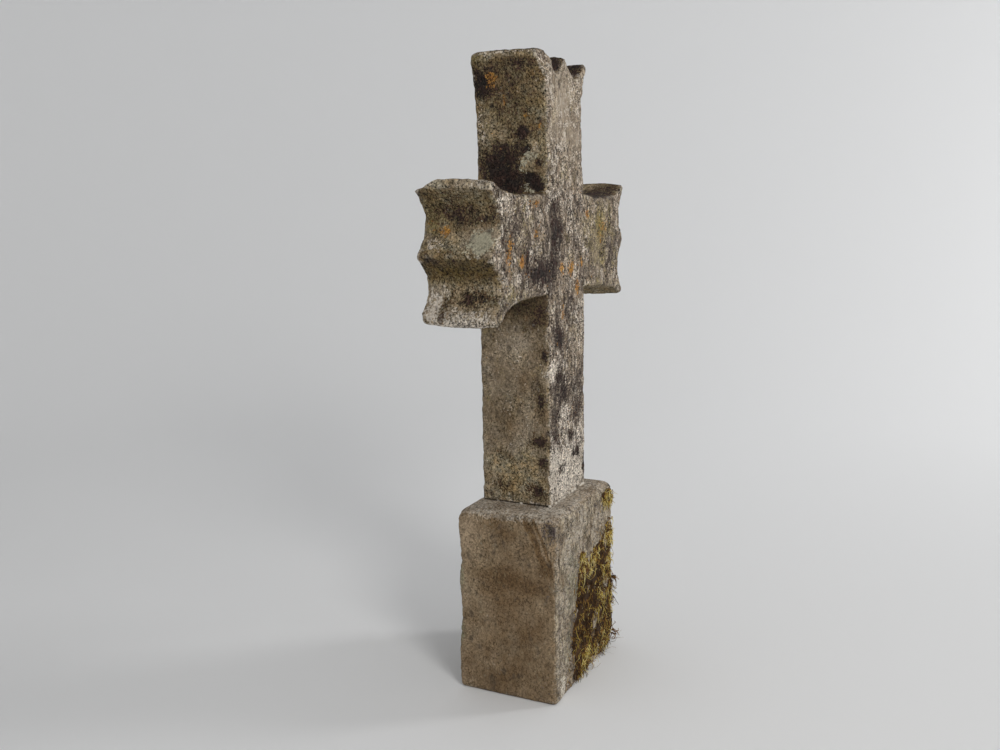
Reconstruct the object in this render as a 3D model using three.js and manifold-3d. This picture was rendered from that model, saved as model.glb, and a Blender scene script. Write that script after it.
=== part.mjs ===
// A weathered stone cross standing on a separate stone plinth, with moss on the plinth's front.
// Millimetres, +Z up. +X runs along the arms and the front face looks along -Y.
// The origin is the centre of the plinth's underside.
import * as THREE from 'three';
import { mergeVertices } from 'three/addons/utils/BufferGeometryUtils.js';
import Module from 'manifold-3d';

const wasm = await Module();
wasm.setup();

// Driving dimensions
const PLINTH = { width: 216, depth: 142, height: 252 };
const CROSS_THICKNESS = 100;
const CROSSING_HEIGHT = 600; // centre of the crossing above the ground
const LIMB_HALF = 64; // half the width of the shaft and of each limb at the crossing
const CROSS_OFFSET = { x: 11, y: 8 }; // the cross stands a little off the plinth's centre
const JOINT_GAP = 0.3; // between touching pieces

// The cross
// Every limb widens to an end with two scoops between three cusps. "reach" is the middle cusp's
// distance from the crossing and "shift" its place across the limb. Each side of a limb has its end's
// half width, how far its cusp stands back, how much the edge hollows before it flares, the corner's
// rounding, how wide the cusp is and the depth of the scoop beside it.
const FLARE_START = 40; // the flare begins this far before the end
const HOLLOW_PULL = { middle: 1.4, flare: 1.8 }; // guide points of a hollow edge, in hollow depths
const CUSP_ROUNDING = 4;
const LIMBS = [
  // right arm, from its underside to its top
  {
    angle: 0,
    reach: 232,
    shift: -5,
    sides: [
      { half: 87, setback: 4, hollow: -3, rounding: 9, cusp: 9, scoop: 22 },
      { half: 77, setback: 0, hollow: 6, rounding: 8, cusp: 8, scoop: 20 },
    ],
  },
  // top, from right to left
  {
    angle: Math.PI / 2,
    reach: 240,
    shift: 4,
    sides: [
      { half: 75, setback: 4, hollow: 8, rounding: 9, cusp: 9, scoop: 22 },
      { half: 80, setback: -1, hollow: 2, rounding: 8, cusp: 24, scoop: 24 },
    ],
  },
  // left arm, from its top to its underside
  {
    angle: Math.PI,
    reach: 230,
    shift: 6,
    sides: [
      { half: 80, setback: 1, hollow: 1, rounding: 9, cusp: 9, scoop: 25 },
      { half: 88, setback: 9, hollow: 2, rounding: 14, cusp: 14, scoop: 24 },
    ],
  },
];
const POINTS_PER_LIMB = 68;
const ARRIS_WEAR = 3.5; // rounding of the worn front and back edges
const ARRIS_STEPS = 2;
const THICKNESS_STEPS = 4;
const CROWN = { along: 0.004, across: 0.04 }; // how much fuller the ends are in mid-thickness

// The plinth
const PLINTH_CORNER = 4.5; // rounding of its upright edges
const PLINTH_CORNER_STEPS = 3;
const PLINTH_SPACING = 13; // between the points along its sides
const PLINTH_LEVELS = [
  { z: 0, inset: 3 },
  { z: 4, inset: 0 },
];
const PLINTH_TOP_WEAR = [
  { below: 11, inset: 0 },
  { below: 5, inset: 2 },
  { below: 1.5, inset: 6 },
  { below: 0, inset: 12 },
];
const PLINTH_RISE = 15; // between the levels up its sides
// Scallops of the back: their depth, row height, width, a row's lowest line, where they start above the
// ground, the rows' share of the depth, and how far and how often rows and columns wander.
const HEWN_BACK = {
  depth: 3.4,
  height: 87,
  width: 96,
  lowest: 108,
  starts: 45,
  rowShare: 0.6,
  wander: 0.7,
  wanderLength: 230,
};

// Worn bites and flakes, as ellipsoids cut from the stones
const CROSS_BITES = [
  { at: [-212, 73, 695], radii: [50, 50, 26] }, // upper back corner of the left arm's end
  { at: [-222, -52, 690], radii: [16, 13, 15] }, // its upper front corner
  { at: [-212, 68, 502], radii: [26, 22, 14] }, // its lower back corner
  { at: [90, -52, 842], radii: [14, 16, 14] }, // far cusp of the top
  { at: [-64, -69, 885], radii: [50, 42, 100] }, // front of the top's near cusp
];
const PLINTH_BITES = [
  { at: [-131, -84, 238], radii: [29, 96, 78] }, // flake on the near upright edge
  { at: [-113, -79, 12], radii: [12, 14, 20] }, // foot of that edge
  { at: [116, 78, 247], radii: [18, 22, 16] }, // far back corner of the top
];
const BITE_SIDES = 18;

// The moss
const MOSS_RINGS = [
  { scale: 0.97, rise: 0 },
  { scale: 1, rise: 2 },
  { scale: 0.92, rise: 4.4 },
  { scale: 0.68, rise: 5.8 },
  { scale: 0.34, rise: 6.2 },
];
const MOSS_LUMP = { height: 1.4, width: 57, rise: 69 };
const MOSS_MAT_OUTLINE = [
  [-47, 9], [-53, 60], [-45, 98], [-34, 126], [-28, 156], [-17, 183], [14, 176],
  [46, 176], [70, 186], [88, 197], [103, 200], [104, 120], [103, 14], [30, 8],
];
const MOSS_TUFT_OUTLINE = [
  [65, 238], [82, 244], [100, 242], [105, 234], [102, 225], [86, 222], [69, 228],
];
const MOSS_MAT_POINTS = 56;
const MOSS_TUFT_POINTS = 24;
const MOSS_TUFT_THICKNESS = 0.9; // of the mat's

const materials = {
  cross: new THREE.MeshStandardMaterial({ color: 0x7d7160, roughness: 0.95, metalness: 0 }),
  plinth: new THREE.MeshStandardMaterial({ color: 0x786a55, roughness: 0.95, metalness: 0 }),
  moss: new THREE.MeshStandardMaterial({ color: 0x6b5a1c, roughness: 1, metalness: 0 }),
};

// Solids

function solidOf(geometry) {
  const bare = geometry.index ? geometry.toNonIndexed() : geometry.clone();
  bare.deleteAttribute('normal');
  bare.deleteAttribute('uv');
  const merged = mergeVertices(bare, 1e-3);
  return new wasm.Manifold(
    new wasm.Mesh({
      numProp: 3,
      vertProperties: merged.attributes.position.array,
      triVerts: new Uint32Array(merged.index.array),
    }),
  );
}

function geometryOf(solid) {
  const made = solid.getMesh();
  const geometry = new THREE.BufferGeometry();
  geometry.setAttribute('position', new THREE.BufferAttribute(made.vertProperties, 3));
  geometry.setIndex(new THREE.BufferAttribute(made.triVerts, 1));
  geometry.computeVertexNormals();
  return geometry;
}

function cutBites(geometry, bites) {
  let solid = solidOf(geometry);
  for (const { at, radii } of bites) {
    const bite = new THREE.SphereGeometry(1, BITE_SIDES, BITE_SIDES / 2);
    bite.scale(...radii).translate(...at);
    solid = solid.subtract(solidOf(bite));
  }
  return geometryOf(solid);
}

// A closed solid through rings of points, each ring going the same way round, with flat ends.
function loft(rings) {
  const count = rings[0].length;
  const points = rings.flat();
  const index = [];
  for (let r = 0; r + 1 < rings.length; r += 1) {
    for (let i = 0; i < count; i += 1) {
      const a = r * count + i;
      const b = r * count + ((i + 1) % count);
      index.push(a, b, b + count, a, b + count, a + count);
    }
  }
  const last = (rings.length - 1) * count;
  const ends = [rings[0], rings[rings.length - 1]].map((ring) => {
    const centre = new THREE.Vector3();
    ring.forEach((p) => centre.addScaledVector(p, 1 / count));
    return points.push(centre) - 1;
  });
  for (let i = 0; i < count; i += 1) {
    const next = (i + 1) % count;
    index.push(ends[0], next, i, ends[1], last + i, last + next);
  }
  const geometry = new THREE.BufferGeometry().setFromPoints(points);
  geometry.setIndex(index);
  return geometry;
}

// The cross

// Half of a limb's edge, from the crossing's corner out to the middle cusp, which lies at "middle" across
// the limb.
function limbSide(reach, middle, side) {
  const { half, setback, hollow, rounding, cusp, scoop } = side;
  const end = reach - setback;
  const path = new THREE.Path();
  path.moveTo(LIMB_HALF, LIMB_HALF);
  path.bezierCurveTo(
    (LIMB_HALF + end) / 2, LIMB_HALF - hollow * HOLLOW_PULL.middle,
    end - FLARE_START, LIMB_HALF - hollow * HOLLOW_PULL.flare,
    end - rounding, half,
  );
  path.quadraticCurveTo(end, half, end, half - rounding);
  if (cusp > rounding) path.lineTo(end, half - cusp);
  path.quadraticCurveTo(
    (reach + end) / 2 - 2 * scoop, (half - cusp + rounding + middle) / 2,
    reach - CUSP_ROUNDING, middle + CUSP_ROUNDING,
  );
  const tip = reach - CUSP_ROUNDING / 2;
  path.quadraticCurveTo(tip, middle + CUSP_ROUNDING / 2, tip, middle);
  return path.getSpacedPoints(POINTS_PER_LIMB / 2);
}

// A limb's whole edge, counter-clockwise, turned to the limb's own direction.
function limbOutline({ angle, reach, shift, sides }) {
  const first = limbSide(reach, -shift, sides[0]).map((p) => new THREE.Vector2(p.x, -p.y));
  const second = limbSide(reach, shift, sides[1]).reverse().slice(1);
  const crossing = new THREE.Vector2();
  return [...first, ...second].map((p) => p.rotateAround(crossing, angle));
}

// Makes the limbs' ends fuller in mid-thickness than at the front and back faces, where they are worn.
function crownLimbs(geometry) {
  const points = geometry.attributes.position;
  const middle = CROSS_THICKNESS / 2 - ARRIS_WEAR;
  for (let i = 0; i < points.count; i += 1) {
    const x = points.getX(i);
    const y = points.getY(i);
    const share = 1 - ((points.getZ(i) - middle) / (CROSS_THICKNESS / 2)) ** 2;
    const upright = y > Math.abs(x);
    const outwards = Math.max(Math.abs(x), y);
    const fade = THREE.MathUtils.smoothstep(outwards, LIMB_HALF, LIMBS[0].reach) * share;
    const along = 1 + CROWN.along * fade;
    const across = 1 + CROWN.across * fade;
    points.setX(i, x * (upright ? across : along));
    points.setY(i, y * (upright ? along : across));
  }
}

function crossGeometry() {
  const foot = PLINTH.height + JOINT_GAP - CROSSING_HEIGHT;
  const limbs = LIMBS.flatMap((limb) => limbOutline(limb).slice(0, -1));
  const lowerCorner = new THREE.Vector2(-LIMB_HALF, -LIMB_HALF);
  const outline = [
    new THREE.Vector2(-LIMB_HALF, foot),
    new THREE.Vector2(LIMB_HALF, foot),
    ...limbs,
    lowerCorner,
  ];
  const geometry = new THREE.ExtrudeGeometry(new THREE.Shape(outline), {
    depth: CROSS_THICKNESS - 2 * ARRIS_WEAR,
    steps: THICKNESS_STEPS,
    bevelThickness: ARRIS_WEAR,
    bevelSize: ARRIS_WEAR,
    bevelOffset: -ARRIS_WEAR,
    bevelSegments: ARRIS_STEPS,
  });
  crownLimbs(geometry);
  geometry.rotateX(Math.PI / 2);
  geometry.translate(
    CROSS_OFFSET.x,
    CROSS_OFFSET.y + CROSS_THICKNESS / 2 - ARRIS_WEAR,
    CROSSING_HEIGHT,
  );
  return cutBites(geometry, CROSS_BITES);
}

// The plinth

// One level's rounded rectangle, counter-clockwise, with points along its straight sides.
function plinthRing(z, inset) {
  const x = PLINTH.width / 2 - inset - PLINTH_CORNER;
  const y = PLINTH.depth / 2 - inset - PLINTH_CORNER;
  const centres = [[x, -y], [x, y], [-x, y], [-x, -y]];
  const alongX = Math.round(PLINTH.width / PLINTH_SPACING);
  const alongY = Math.round(PLINTH.depth / PLINTH_SPACING);
  const ring = [];
  centres.forEach(([cx, cy], corner) => {
    for (let i = 0; i <= PLINTH_CORNER_STEPS; i += 1) {
      const angle = (corner - 1 + i / PLINTH_CORNER_STEPS) * (Math.PI / 2);
      ring.push(
        new THREE.Vector3(
          cx + PLINTH_CORNER * Math.cos(angle),
          cy + PLINTH_CORNER * Math.sin(angle),
          z,
        ),
      );
    }
    const from = ring[ring.length - 1];
    const [nx, ny] = centres[(corner + 1) % centres.length];
    const to = new THREE.Vector3(
      nx + PLINTH_CORNER * Math.round(Math.cos((corner * Math.PI) / 2)),
      ny + PLINTH_CORNER * Math.round(Math.sin((corner * Math.PI) / 2)),
      z,
    );
    const steps = corner % 2 ? alongX : alongY;
    for (let i = 1; i < steps; i += 1) ring.push(from.clone().lerp(to, i / steps));
  });
  return ring;
}

// How far the rough-hewn back face lies inside the flat: rows of shallow scallops above the foot.
function hewnDepth(x, z) {
  const { depth, height, width, lowest, starts, rowShare, wander, wanderLength } = HEWN_BACK;
  const turn = 2 * Math.PI;
  const across = x + PLINTH.width / 2;
  const row = Math.cos((turn * (z - lowest)) / height + wander * Math.sin((turn * across) / wanderLength));
  const column = Math.cos((turn * across) / width + wander * Math.sin((turn * z) / wanderLength));
  const fade = THREE.MathUtils.clamp((z - starts) / starts, 0, 1);
  return depth * (1 + rowShare * row + (1 - rowShare) * column) * fade;
}

function plinthGeometry() {
  const levels = [...PLINTH_LEVELS];
  const topWear = PLINTH_TOP_WEAR.map(({ below, inset }) => ({ z: PLINTH.height - below, inset }));
  const bottom = levels[levels.length - 1].z;
  const rise = topWear[0].z - bottom;
  const steps = Math.round(rise / PLINTH_RISE);
  for (let i = 1; i < steps; i += 1) levels.push({ z: bottom + (rise * i) / steps, inset: 0 });
  levels.push(...topWear);
  const rings = levels.map(({ z, inset }) => plinthRing(z, inset));
  const backStarts = PLINTH.depth / 2 - PLINTH_CORNER;
  for (const p of rings.flat()) {
    const share = THREE.MathUtils.clamp((p.y - backStarts) / PLINTH_CORNER, 0, 1);
    p.y -= share * hewnDepth(p.x, p.z);
  }
  return cutBites(loft(rings), PLINTH_BITES);
}

// The moss

// A lumpy cushion that grows out of the plinth's front face inside an outline of (x, z) points.
function mossGeometry(outlinePoints, count, thickness) {
  const knots = outlinePoints.map(([x, z]) => new THREE.Vector3(x, 0, z));
  const outline = new THREE.CatmullRomCurve3(knots, true).getSpacedPoints(count).slice(0, -1);
  const centre = new THREE.Vector3();
  outline.forEach((p) => centre.addScaledVector(p, 1 / outline.length));
  const face = -PLINTH.depth / 2 - JOINT_GAP;
  const rings = MOSS_RINGS.map(({ scale, rise }) =>
    outline.map((p) => {
      const point = centre.clone().lerp(p, scale);
      const acrossLump = Math.sin((2 * Math.PI * point.x) / MOSS_LUMP.width);
      const upLump = Math.cos((2 * Math.PI * point.z) / MOSS_LUMP.rise);
      const lump = MOSS_LUMP.height * acrossLump * upLump;
      point.y = face - thickness * (rise ? rise + lump : 0);
      return point;
    }),
  );
  // Seen from the front the rings run clockwise, so they are lofted from the front to the back.
  return loft(rings.reverse());
}

// Assembly

function piece(name, geometry, material) {
  const mesh = new THREE.Mesh(geometry, material);
  mesh.name = name;
  return mesh;
}

const memorial = new THREE.Group();
memorial.name = 'stone_cross_memorial';
memorial.add(
  piece('cross', crossGeometry(), materials.cross),
  piece('plinth', plinthGeometry(), materials.plinth),
  piece('moss_mat', mossGeometry(MOSS_MAT_OUTLINE, MOSS_MAT_POINTS, 1), materials.moss),
  piece('moss_tuft', mossGeometry(MOSS_TUFT_OUTLINE, MOSS_TUFT_POINTS, MOSS_TUFT_THICKNESS), materials.moss),
);

export default memorial;
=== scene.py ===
"""Looks of a weathered stone cross on a separate plinth with moss on its front face.

Metres, +Z up. +X runs along the arms, the front face looks along -Y, and the origin is the centre of the
plinth's underside. Each stone is an even mesh made from its solid, then worn and roughened in code. Fields of
growth, wear and painted shade are stored on its points, and its material reads them.
"""

import math

import bmesh
import bpy
import numpy as np
from mathutils import Matrix, Vector, noise


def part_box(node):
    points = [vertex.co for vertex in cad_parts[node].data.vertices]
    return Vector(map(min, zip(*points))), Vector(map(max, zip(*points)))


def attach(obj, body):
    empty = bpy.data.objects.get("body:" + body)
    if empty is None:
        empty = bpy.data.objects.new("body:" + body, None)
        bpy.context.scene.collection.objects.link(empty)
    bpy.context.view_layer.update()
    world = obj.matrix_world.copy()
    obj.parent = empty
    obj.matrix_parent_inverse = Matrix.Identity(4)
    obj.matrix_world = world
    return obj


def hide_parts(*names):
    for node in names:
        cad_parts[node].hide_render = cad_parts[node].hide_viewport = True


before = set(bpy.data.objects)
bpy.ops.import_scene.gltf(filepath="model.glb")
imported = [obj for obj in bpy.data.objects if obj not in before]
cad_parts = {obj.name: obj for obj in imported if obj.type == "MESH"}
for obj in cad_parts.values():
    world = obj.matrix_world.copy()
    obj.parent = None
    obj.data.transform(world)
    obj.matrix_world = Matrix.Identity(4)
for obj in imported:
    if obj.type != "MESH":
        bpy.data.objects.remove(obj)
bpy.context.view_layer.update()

MM = 0.001
PLINTH_LOW, PLINTH_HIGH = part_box("plinth")
CROSS_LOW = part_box("cross")[0]

FOOT_HALF = (64 * MM, 50 * MM)  # of the cross's foot
FOOT_MIDDLE = (11 * MM, 8 * MM)

# The camera, at the photograph's viewing angle
CAMERA_PLACE = (-1.2459, -0.5467, 0.6604)
CAMERA_YAW = 25.768  # degrees from +X towards +Y
CAMERA_PITCH = 9.9653  # degrees below the horizon
CAMERA_ROLL = -0.9775
CAMERA_LENS = 36.325  # millimetres
CAMERA_SENSOR = 36  # millimetres across

# The stage and its light
FLOOR_MIDDLE = 0.02  # radius of the face in the floor's middle
FLOOR_RADIUS = 1.75
SWEEP_RADIUS = 2.8
SWEEP_STEPS = 24
WALL_TOP = 3.4
STAGE_SIDES = 128
STAGE_COLOUR = (0.78, 0.785, 0.79, 1)
SKY_STRENGTH = 0.43

# Mesh sizes
CROSS_GRID = 2.3 * MM
PLINTH_GRID = 1.7 * MM
CUSHION_GRID = 1.6 * MM
WELD = 1e-6  # points of a solid that are nearer than this become one
JOINT_OPENING = 2.3 * MM  # how far the cross's lower arrises are worn back above its foot
SKIN = 0.5  # millimetres that the stones' faces stand out, as the even mesh cuts their edges


# Noise and points

GRAIN_SHIFT = Vector((13.7, -7.9, 3.1))  # from one seed's noise to the next
GRAIN_FADE = 0.9  # how fast the finer octaves fade
GRAIN_STEP = 2.0  # how many times finer each octave is
PIT_SHIFT = Vector((5.1, 11.3, -8.7))
PIT_RADIUS = 0.45  # as a share of the pits' spacing


def grain(points, size, octaves, seed):
    """Fractal noise of about -1 to 1 at the points, with lumps of that size."""
    shift = GRAIN_SHIFT * seed
    inverse = 1 / size
    places = (Vector(p) * inverse + shift for p in points.tolist())
    return np.array([noise.fractal(place, GRAIN_FADE, GRAIN_STEP, octaves) for place in places])


def pits(points, size, seed):
    """1 at the middle of scattered round pits of that spacing, 0 between them."""
    shift = PIT_SHIFT * seed
    inverse = 1 / size
    near = [noise.voronoi(Vector(p) * inverse + shift)[0][0] for p in points.tolist()]
    return np.clip(1 - np.array(near) / PIT_RADIUS, 0, 1)


def ease(value, low, high):
    """0 below low, 1 above high, smooth between them."""
    t = np.clip((value - low) / (high - low), 0, 1)
    return t * t * (3 - 2 * t)


def points_of(mesh, what="co"):
    flat = np.empty(len(mesh.vertices) * 3, np.float32)
    mesh.vertices.foreach_get(what, flat)
    return flat.reshape(-1, 3).astype(float)


def move(mesh, points):
    mesh.vertices.foreach_set("co", points.astype(np.float32).ravel())
    mesh.update()


def edges_of(mesh):
    flat = np.empty(len(mesh.edges) * 2, np.int32)
    mesh.edges.foreach_get("vertices", flat)
    return flat.reshape(-1, 2)


def smoothed(values, edges, rounds):
    """The values after each has moved half way to its neighbours' mean, a number of times."""
    first, second = edges[:, 0], edges[:, 1]
    size = len(values)
    count = np.bincount(first, minlength=size) + np.bincount(second, minlength=size)
    for _ in range(rounds):
        columns = [
            np.bincount(first, column[second], size) + np.bincount(second, column[first], size)
            for column in values.T
        ]
        values = (values + np.stack(columns, 1) / count[:, None]) / 2
    return values


def store(mesh, name, values):
    attribute = mesh.attributes.new(name, "FLOAT", "POINT")
    attribute.data.foreach_set("value", values.astype(np.float32))


# Pieces

def new_object(name, data):
    piece = bpy.data.objects.new(name, data)
    bpy.context.scene.collection.objects.link(piece)
    return piece


def wall_faces(rings, sides):
    """The faces of a closed wall through rings of points, with so many points in each."""
    faces = []
    for ring in range(rings - 1):
        for side in range(sides):
            a = ring * sides + side
            b = ring * sides + (side + 1) % sides
            faces.append((a, b, b + sides, a + sides))
    return faces


def even_mesh(node, grid, name):
    """A new object with a node's shape, as an even mesh of squares."""
    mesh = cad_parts[node].data.copy()
    welded = bmesh.new()
    welded.from_mesh(mesh)
    bmesh.ops.remove_doubles(welded, verts=welded.verts, dist=WELD)
    welded.to_mesh(mesh)
    welded.free()
    mesh.materials.clear()
    piece = new_object(name, mesh)
    remesh = piece.modifiers.new("even", "REMESH")
    remesh.mode = "VOXEL"
    remesh.voxel_size = grid
    graph = bpy.context.evaluated_depsgraph_get()
    even = bpy.data.meshes.new_from_object(piece.evaluated_get(graph))
    piece.modifiers.clear()
    piece.data = even
    bpy.data.meshes.remove(mesh)
    return piece


def dress(piece, material, slot, *nodes):
    """Finishes a piece: its material, smooth shading, body and the nodes that it stands for. The slot is not
    used.
    """
    piece.data.materials.clear()
    piece.data.materials.append(material)
    piece.data.shade_smooth()
    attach(piece, "root")
    if nodes:
        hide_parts(*nodes)


# Growth and painted shade on the stones

# Faces that growth is placed on: the axis that they look along and their place on it, in millimetres
FACES = {
    "side": (0, -53),  # near side of the shaft and of the top limb
    "end": (0, -205),  # the left arm's scooped end
    "notch": (0, 30),  # the cusps' near walls on the top limb's end
    "front": (1, -42),
    "plinth_side": (0, -108),
    "plinth_front": (1, -71),
}
FACE_DEPTH = 50  # growth on a face stays within this many millimetres of it
SPOT_FALL = 1.2  # how fast a spot fades from its middle

WAYS = ("near", "front", "top", "under", "other")
# The shares of a normal, along a way, at which a point starts to look that way and fully does
LOOKS_FROM = {"near": (0.25, 0.65), "front": (0.25, 0.65), "top": (0.35, 0.75), "under": (0.2, 0.55)}
END_STARTS = -165  # the left arm's end lies beyond this X, in millimetres

GROWTH_PATCH = 36 * MM  # size of the wild variation
GROWTH_RANGE = (-0.6, 1.8)  # the least and the most that is stored
FRONT_WILD = 0.6  # how much wilder the front is


def looks(points, normals):
    """How much each point looks to the near side, the front, up, down or any other way. All of the left
    arm's end, apart from its undersides, counts as looking to the near side."""
    under = ease(-normals[:, 2], *LOOKS_FROM["under"])
    end = (points[:, 0] < END_STARTS * MM) * (1 - ease(np.abs(normals[:, 1]), 0.4, 0.75))
    end = end * ease(-normals[:, 0], -0.05, 0.15)
    ways = {
        "near": np.maximum(ease(-normals[:, 0], *LOOKS_FROM["near"]), end) * (1 - under),
        "front": ease(-normals[:, 1], *LOOKS_FROM["front"]),
        "top": ease(normals[:, 2], *LOOKS_FROM["top"]) * (1 - end),
        "under": under,
    }
    total = sum(ways.values())
    shares = {way: amount / np.maximum(total, 1) for way, amount in ways.items()}
    return {**shares, "other": np.clip(1 - total, 0, 1)}


def placed(points, spots, ways=None):
    """The sum of soft spots. Each face has its own rows: the place across and up it, the half width and half
    height, in millimetres, and the amount."""
    total = np.zeros(len(points))
    for face, rows in spots.items():
        axis, off = FACES[face]
        share = np.abs(points[:, axis] / MM - off) < FACE_DEPTH
        if ways:
            share = share * (ways["near"] + ways["under"] if axis == 0 else ways["front"])
        for across, up, half_width, half_height, amount in rows:
            sideways = (points[:, 1 - axis] / MM - across) / half_width
            upwards = (points[:, 2] / MM - up) / half_height
            total += share * amount * np.exp(-SPOT_FALL * (sideways ** 2 + upwards ** 2))
    return total


def store_growth(mesh, growth, seed, extra=None):
    """Stores how much of each growth there is: a base for the way that each point looks, soft spots that add
    to it or take from it, wild variation and anything extra."""
    points = points_of(mesh)
    ways = looks(points, points_of(mesh, "normal"))
    wilder = 1 + ways["other"] + ways["top"] + FRONT_WILD * ways["front"]
    for number, (name, (base, wild, spots)) in enumerate(growth.items()):
        amount = sum(value * ways[way] for way, value in zip(WAYS, base))
        amount += wild * grain(points, GROWTH_PATCH, 4, seed + number) * wilder
        amount += placed(points, spots, ways)
        if extra and name in extra:
            amount += extra[name]
        store(mesh, name, np.clip(amount, *GROWTH_RANGE))
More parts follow.
